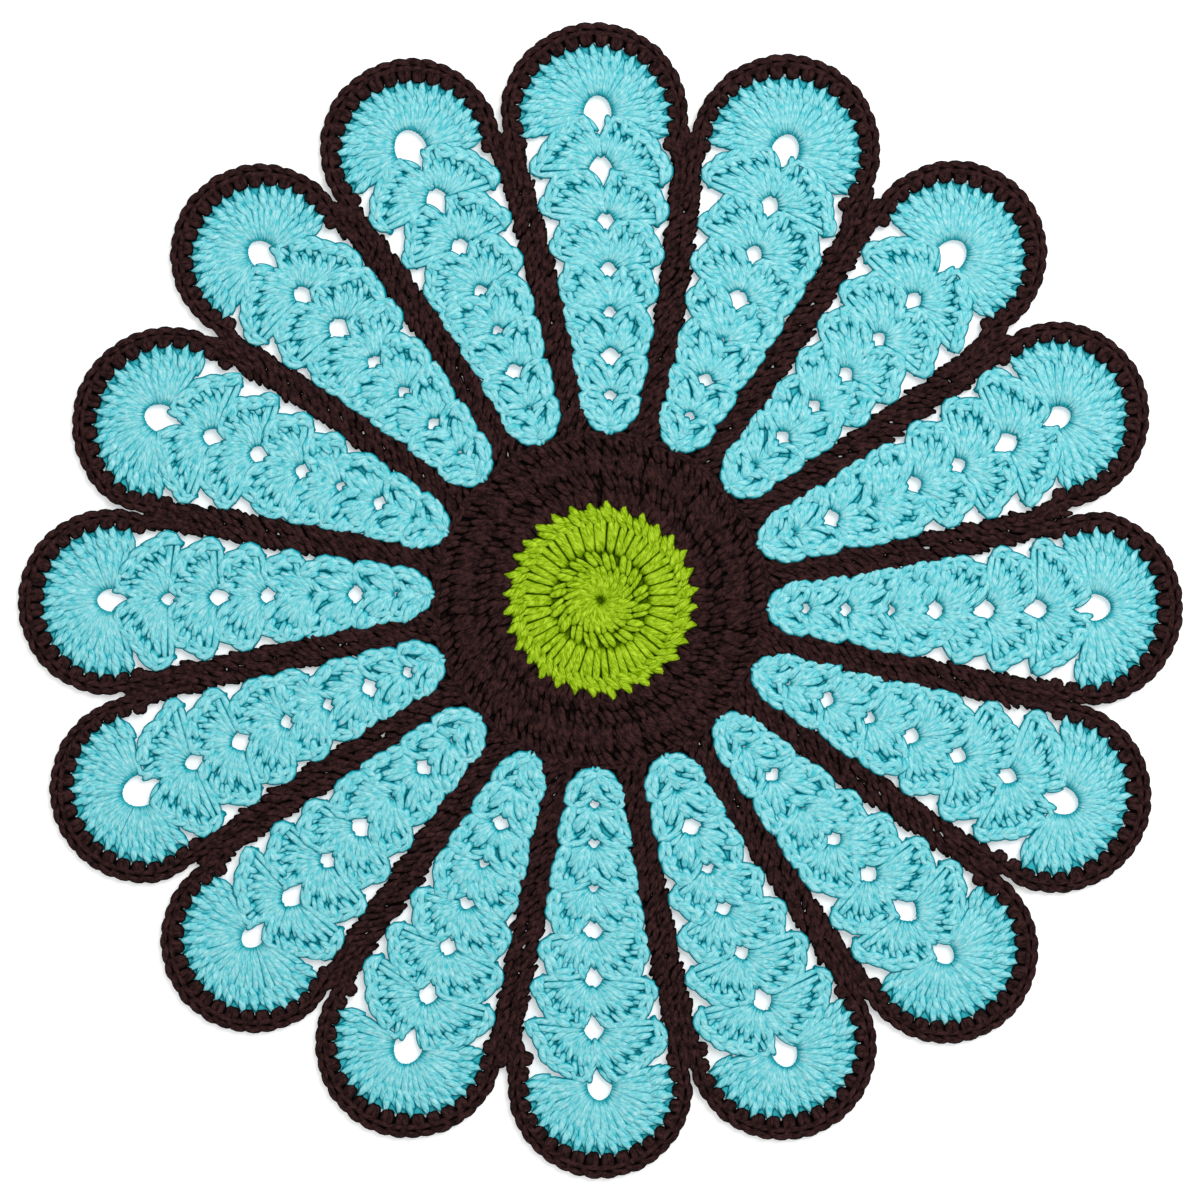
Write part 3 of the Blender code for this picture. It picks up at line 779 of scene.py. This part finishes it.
def shell_strands(index, left, number, rng):
    """One shell's strands, and the two lines that bound the cloth behind them."""
    row = ROWS[number]
    out, across = row_place(index, row.out)
    centre = placed(index * PITCH, out, across)
    rim = shell_rim(index, left, number)
    gone = measured(rim)[-1]
    where = np.linspace(0, 1, row.stitches)
    first, last = 1.8, gone - 0.8  # how far along the rim the first and last heads are
    strands = []
    feet = []
    for share in where:
        inset = 1.1 + (CHAIN_INSET[left] - 0.9) * (1 - eased(share, 0.45, 0.8))
        edge = at(rim, first + (last - first) * share)[0]
        head = drawn_in(edge, centre, inset)[0]
        foot = np.array(hole_foot(index, number, head))
        feet.append(foot + (head - foot) * 0.06)
        if share:
            # Lower towards the shell's two ends, so that the yarn's height-based painted shade deepens there.
            low = 2.1 + 0.4 * math.sin(math.pi * share)
            turns, plump = (2, 1.1) if number >= FINE_ROWS else (1, 1.3)
            strands += tall_stitch(foot, head, rng, spread=1.1, turns=turns, plump=plump, low=low, brim=0.6)
        else:
            # The shell's first stitch stands free of the rest, so both its strands show, up to its head.
            post = np.array([foot, head])
            length = measured(post)[-1]
            for hand in (1, -1):
                swing = (0.35 * hand, 1.15 * hand, 0.8 * hand)
                heights = (2.3, 3.0, 3.3, 2.5)
                strands.append(leg(post, 0.3, length + 0.6, swing, rng, heights, thick=1.3, taper=0.6))
    braid = drawn_in(rim, centre, CHAIN_INSET[left])
    worked = at(braid, np.linspace(0, CHAIN_SHARE * measured(braid)[-1], 24))[0]
    outwards = 1 if left else -1
    swings = [[away * outwards for away in swing] for swing in ((-0.9, 0.6, 1.2), (0.5, -1.2, -1.3))]
    heights, thick = ((1.9, 3.0, 3.3, 2.5), 1.2) if left else ((2.2, 3.6, 3.9, 3.0), 1.35)
    strands += chain(worked, rng, swings, heights, thick, pitch=5.2, reach=1.65)
    # The first tall stitch of the next row's pair lies along the hole, over the heads below it.
    for inset, start in ((1.2, CHAIN_SHARE), (3.2, CHAIN_SHARE + 0.04)):
        beside = drawn_in(rim, centre, inset)
        swing = (0.0, rng.uniform(-0.2, 0.3), -0.5 * outwards)
        heights = (2.4, 3.4, 3.2, 2.3)
        start = gone * start - 2.0
        strands.append(leg(beside, start, gone - 1.6, swing, rng, heights, thick=1.12, taper=0.65))
    return strands, (evenly(braid, 10), evenly(np.array(feet), 10))


def fan_end(index, left):
    """How far round the tip's centre, in degrees, the end fan reaches before the last gap on a side."""
    _, span = side_gap(index, left, LAST_ROW)
    if not span:
        return FAN_TURN
    petal = PETALS[index]
    beyond = side_place(index, left, LAST_ROW) + GAP_BEYOND * span - (petal.reach - petal.breadth)
    return math.degrees(math.acos(beyond / (petal.breadth - BAND_SIDE))) + FAN_OVER[left]


def fan_strands(index, rng):
    """The end fan: tall stitches all round the eye, each ending in a point between two edging stitches."""
    count = ROWS[LAST_ROW].stitches
    centre = tip_centre(index)
    shape = {"thin": 0.3, "point": True, "spread": 1.15, "plump": 1.15, "paired": 2, "brim": 0.8}
    ends = {left: fan_end(index, left) for left in (True, False)}
    strands = []
    outer, inner = [], []
    for stitch in range(count):
        turn = FAN_TURN * (2 * (stitch + 0.5) / count - 1) + rng.uniform(-0.9, 0.9)
        if abs(turn) > ends[turn > 0]:
            continue
        ray, _ = along(index * PITCH + turn)
        head = centre + ray * (tip_reach(index, turn) - tip_width(turn) + rng.uniform(-0.3, 0.5))
        foot = hole_foot(index, LAST_ROW, head)
        strands += tall_stitch(foot, head, rng, **shape)
        outer.append(tuple(head - ray * 0.3))
        inner.append(tuple(foot + (head - foot) * 0.05))
    return strands, (outer, inner)


def make_petal(index):
    """A petal's stitches and cloth: the end fan, and the two shells of every row."""
    rng = random.Random(100 + index)
    strands, strip = fan_strands(index, rng)
    strips = [strip]
    for number in range(LAST_ROW):
        for left in (True, False):
            shell, strip = shell_strands(index, left, number, rng)
            strands += shell
            strips.append(strip)
    node = f"petal_{index:02d}"
    stitches = make_yarn(f"{node}_stitches", strands, AQUA)
    cloth, area = make_slabs(f"{node}_cloth", strips, AQUA_GROUND)
    dress(stitches, cloth, node)
    return cloth, area, stitches


def dress(stitches, cloth, node):
    """Has a piece's stitches and cloth ride with the mat in place of its solid."""
    for piece in (stitches, cloth):
        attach(piece, "root")
    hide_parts(node)


# Bands --------------------------------------------------------------

STRAIGHT_END = 150.0  # how far out the bands of neighbouring petals run side by side
CHAIN_MIDDLE = 2.35  # from the band's outer edge to the middle of its chain
RUN_ON = (137.0, 141.0, 145.0)  # how far out a tip's chain is lost in the joined sides
JOINED_STEP = 2.7  # from one pair of legs to the next in the joined sides
SLANT = -34  # degrees, of these legs
SIDE_WAVE = 13.0  # length of the waves in a band's inner edge

# Legs fill the notch between two tips to a little past where the tips come nearest each other.
NOTCH_START, NOTCH_END, NOTCH_STEP = 149.0, 164.0, 1.5
NOTCH_FILL, NOTCH_SHORT = 0.6, 1.2  # how far past: a share of the tips' least distance, less a little


def band_sides(index, left):
    """The band's outer and inner lines along one side of the petal, from the rounds outwards."""
    outs = np.linspace(BROWN_RIM - 1.5, STRAIGHT_END, 14)
    outer = [seam_point(index, left, out, GAP / 2) for out in outs]
    inner = [seam_point(index, left, out, GAP / 2 + band_width(out)) for out in outs]
    return smooth_path(outer, 3), smooth_path(inner, 3)


def band_tip(index):
    """The band's outer and inner points round the petal's tip, one to each stitch, right side first."""
    centre = tip_centre(index)
    count = ROWS[LAST_ROW].stitches
    outer, inner = [], []
    for step in range(count + 1):
        turn = FAN_TURN * (2 * step / count - 1)
        ray, _ = along(index * PITCH + turn)
        reach = tip_reach(index, turn)
        outer.append(centre + ray * reach)
        inner.append(centre + ray * (reach - tip_width(turn)))
    return np.array(outer), np.array(inner)


def edging_strands(outer, inner, run_in, run_out, rng):
    """The edging round a tip: a chain along its outer edge, and below it stitches over the petal's edge."""
    across = inner - outer
    width = np.linalg.norm(across, axis=1)
    inward = across / width[:, None]
    braid = outer + inward * CHAIN_MIDDLE
    strands = []
    for place, toward, reach in zip(braid, inward, width - CHAIN_MIDDLE):
        strands += short_stitch(place + toward * 0.8, toward, reach + 0.4, rng)
    path = smooth_path([*run_in, *braid, *run_out], 4)
    swings = ((0.1, -1.3, -1.5), (0.0, 1.0, 0.5))
    strands += chain(path, rng, swings, (2.7, 3.4, 3.5, 2.7), thick=1.12, reach=1.5)
    return strands


def joined_strands(outer, inner, rng):
    """The straight side of a band, where it is worked to its neighbour: two columns of slanted legs."""
    strands = []
    across = inner - outer
    distance = measured(outer)
    gone = distance[-1]
    count = round(gone / JOINED_STEP)
    for number in range(count):
        along_it = gone * (number + 0.5) / count
        share = np.array([np.interp(along_it, distance, across[:, axis]) for axis in range(2)])
        place, ahead = at(outer, along_it)
        wave = 0.06 * math.sin(math.tau * along_it / SIDE_WAVE)
        near = place[0] + share * (0.22 + wave / 2)
        far = place[0] + share * (0.6 + wave) + ahead[0] * 1.3
        strands.append(slanted_leg(near, ahead[0], SLANT, 5.6, rng, thick=1.12))
        strands.append(slanted_leg(far, ahead[0], SLANT, 6.0, rng, thick=1.18))
    return strands


def strip_between(outer, inner, outer_inset, inner_inset):
    """The two lines that bound a strip, drawn in from its edges."""
    across = inner - outer
    across = across / np.linalg.norm(across, axis=1)[:, None]
    return outer + across * outer_inset, inner - across * inner_inset


def notch_strands(index, rng):
    """Where the bands of two tips part, the last stitches that hold them together."""
    ray, across = along((index + 0.5) * PITCH)
    steps = []
    for out in np.arange(NOTCH_START, NOTCH_END, NOTCH_STEP):
        edges = []
        for petal, way in ((index, 1), ((index + 1) % PETAL_COUNT, -1)):
            centre = tip_centre(petal)
            lift = out - centre.dot(ray)
            edges.append(centre.dot(across) + way * math.sqrt(PETALS[petal].breadth ** 2 - lift**2))
        steps.append((out, sum(edges) / 2, edges[1] - edges[0]))
    narrowest, waist = min((gap, out) for out, _, gap in steps)
    strands = []
    for out, middle, gap in steps:
        if out > waist + NOTCH_FILL * narrowest - NOTCH_SHORT:
            break
        for hand in (1, -1):
            beside = middle + hand * (0.5 + 0.25 * min(gap, 4.0))
            place = placed((index + 0.5) * PITCH, out + 0.6 * hand, beside)
            strands.append(slanted_leg(place, ray, 24 * hand, 5.0, rng, thick=1.1, high=3.1))
    return strands


def make_band(index):
    """A petal's band: the edging round its tip, its two joined sides, and what fills the notch after it."""
    rng = random.Random(300 + index)
    outer, inner = band_tip(index)
    runs = [[seam_point(index, left, out, CHAIN_MIDDLE) for out in RUN_ON] for left in (False, True)]
    strands = edging_strands(outer, inner, runs[0], runs[1][::-1], rng)
    strips = [strip_between(outer, inner, 1.2, 0.6)]
    for left in (False, True):
        outer, inner = band_sides(index, left)
        strands += joined_strands(outer, inner, rng)
        # Its cloth reaches in under the petal near the root, and stops short of it further out.
        inset = np.interp(measured(inner), (0, 14, 18), (-1.6, -1.6, 0.9))[:, None]
        strips.append(strip_between(outer, inner, 0.25, inset))
    strands += notch_strands(index, rng)
    node = f"band_{index:02d}"
    stitches = make_yarn(f"{node}_stitches", strands, BROWN)
    cloth, _ = make_slabs(f"{node}_cloth", strips, BROWN_GROUND)
    dress(stitches, cloth, node)
    return cloth, stitches


# Rounds -------------------------------------------------------------


def circle_path(radius, steps=96):
    turns = np.linspace(0, math.tau, steps + 1)
    return np.stack([radius * np.cos(turns), radius * np.sin(turns)], axis=1)


def round_strands(count, inner, outer, rng, pairs=0.0, **shape):
    """A round of tall stitches. pairs is how far, in degrees, two stitches' feet draw together."""
    strands = []
    for stitch in range(count):
        turn = 360 * (stitch + 0.5) / count
        draw = pairs if stitch % 2 == 0 else -pairs
        foot = along(turn + draw + rng.uniform(-0.4, 0.4))[0] * (inner + rng.uniform(-0.3, 0.3))
        head = along(turn + rng.uniform(-0.9, 0.9))[0] * (outer + rng.uniform(-0.4, 0.4))
        strands += tall_stitch(foot, head, rng, **shape)
    return strands


def make_medallion():
    rng = random.Random(7)
    shape = {"thin": 0.35, "spread": 1.2, "lean": 1.3, "plump": 1.2, "low": 2.4, "paired": 2}
    strands = round_strands(16, 0.7, MEDALLION_ROUND, rng, **shape)
    shape = {"thin": 0.8, "spread": 1.4, "lean": 1.9, "plump": 1.25, "low": 2.4, "paired": 2}
    inner, outer = MEDALLION_ROUND + 0.4, MEDALLION_POINT - 0.1
    strands += round_strands(32, inner, outer, rng, pairs=0.6, point=True, turn_length=5.6, **shape)
    stitches = make_yarn("medallion_stitches", strands, LIME)
    cloth, area = make_ground("medallion_cloth", "medallion", LIME_GROUND, 0.0, GROUND_LOW)
    dress(stitches, cloth, "medallion")


def make_brown_rounds():
    rng = random.Random(8)
    shape = {"thin": 0.8, "spread": 1.25, "lean": 1.4, "plump": 1.25}
    inner, outer = MEDALLION_RIM - 0.8, BROWN_ROUND - 0.6
    strands = round_strands(48, inner, outer, rng, pairs=0.6, paired=2, low=1.9, **shape)
    inner, outer = BROWN_ROUND - 1.0, BROWN_RIM - 0.6
    strands += round_strands(60, inner, outer, rng, pairs=0.4, turns=3, paired=3, low=2.3, **shape)
    swings = ((0.2, 0.8, 0.2), (-0.2, -0.8, -0.2))
    strands += chain(circle_path(BROWN_RIM - 0.3), rng, swings, (2.2, 2.9, 3.1, 2.6), thick=0.9)
    stitches = make_yarn("brown_rounds_stitches", strands, BROWN)
    cloth, area = make_ground("brown_rounds_cloth", "brown_rounds", BROWN_GROUND, -1.2, GROUND_LOW - 0.1)
    dress(stitches, cloth, "brown_rounds")


# Table, light and camera --------------------------------------------


FACE = 0.003  # height of the mat's face, in metres
VIEW_WIDTH = 0.3919  # that the camera sees at that height
CAMERA_HEIGHT = 1.3


def make_table():
    bm = bmesh.new()
    bmesh.ops.create_grid(bm, x_segments=1, y_segments=1, size=3.0)
    mesh = bpy.data.meshes.new("table")
    bm.to_mesh(mesh)
    bm.free()
    material = bpy.data.materials.new("white acrylic table top, lit a little from below")
    material.use_nodes = True
    shader = material.node_tree.nodes["Principled BSDF"]
    shader.inputs["Base Color"].default_value = linear("#f7f7f7")
    shader.inputs["Roughness"].default_value = 0.9
    shader.inputs["Emission Color"].default_value = (1, 1, 1, 1)
    shader.inputs["Emission Strength"].default_value = 0.36
    link("table", mesh, material)


def make_light():
    world = bpy.data.worlds.new("studio")
    world.use_nodes = True
    background = world.node_tree.nodes["Background"]
    background.inputs["Color"].default_value = (1, 1, 1, 1)
    background.inputs["Strength"].default_value = 0.68
    bpy.context.scene.world = world
    data = bpy.data.lights.new("softbox", "AREA")
    data.shape = "DISK"
    data.size = 0.9
    data.energy = 13
    lamp = bpy.data.objects.new("softbox", data)
    lamp.location = (0.45, 0.55, 1.3)
    lamp.rotation_euler = Vector(lamp.location).to_track_quat("Z", "Y").to_euler()
    bpy.context.scene.collection.objects.link(lamp)


def make_camera():
    data = bpy.data.cameras.new("camera")
    data.sensor_width = 36
    data.lens = 36 * (CAMERA_HEIGHT - FACE) / VIEW_WIDTH
    camera = bpy.data.objects.new("camera", data)
    camera.location = (-0.0001, 0.0001, CAMERA_HEIGHT)
    bpy.context.scene.collection.objects.link(camera)
    bpy.context.scene.camera = camera


make_camera()
make_light()
make_table()
make_medallion()
make_brown_rounds()
for index in range(PETAL_COUNT):
    cloth, area, stitches = make_petal(index)
    edging = make_band(index)
bpy.context.scene.view_settings.view_transform = "Standard"
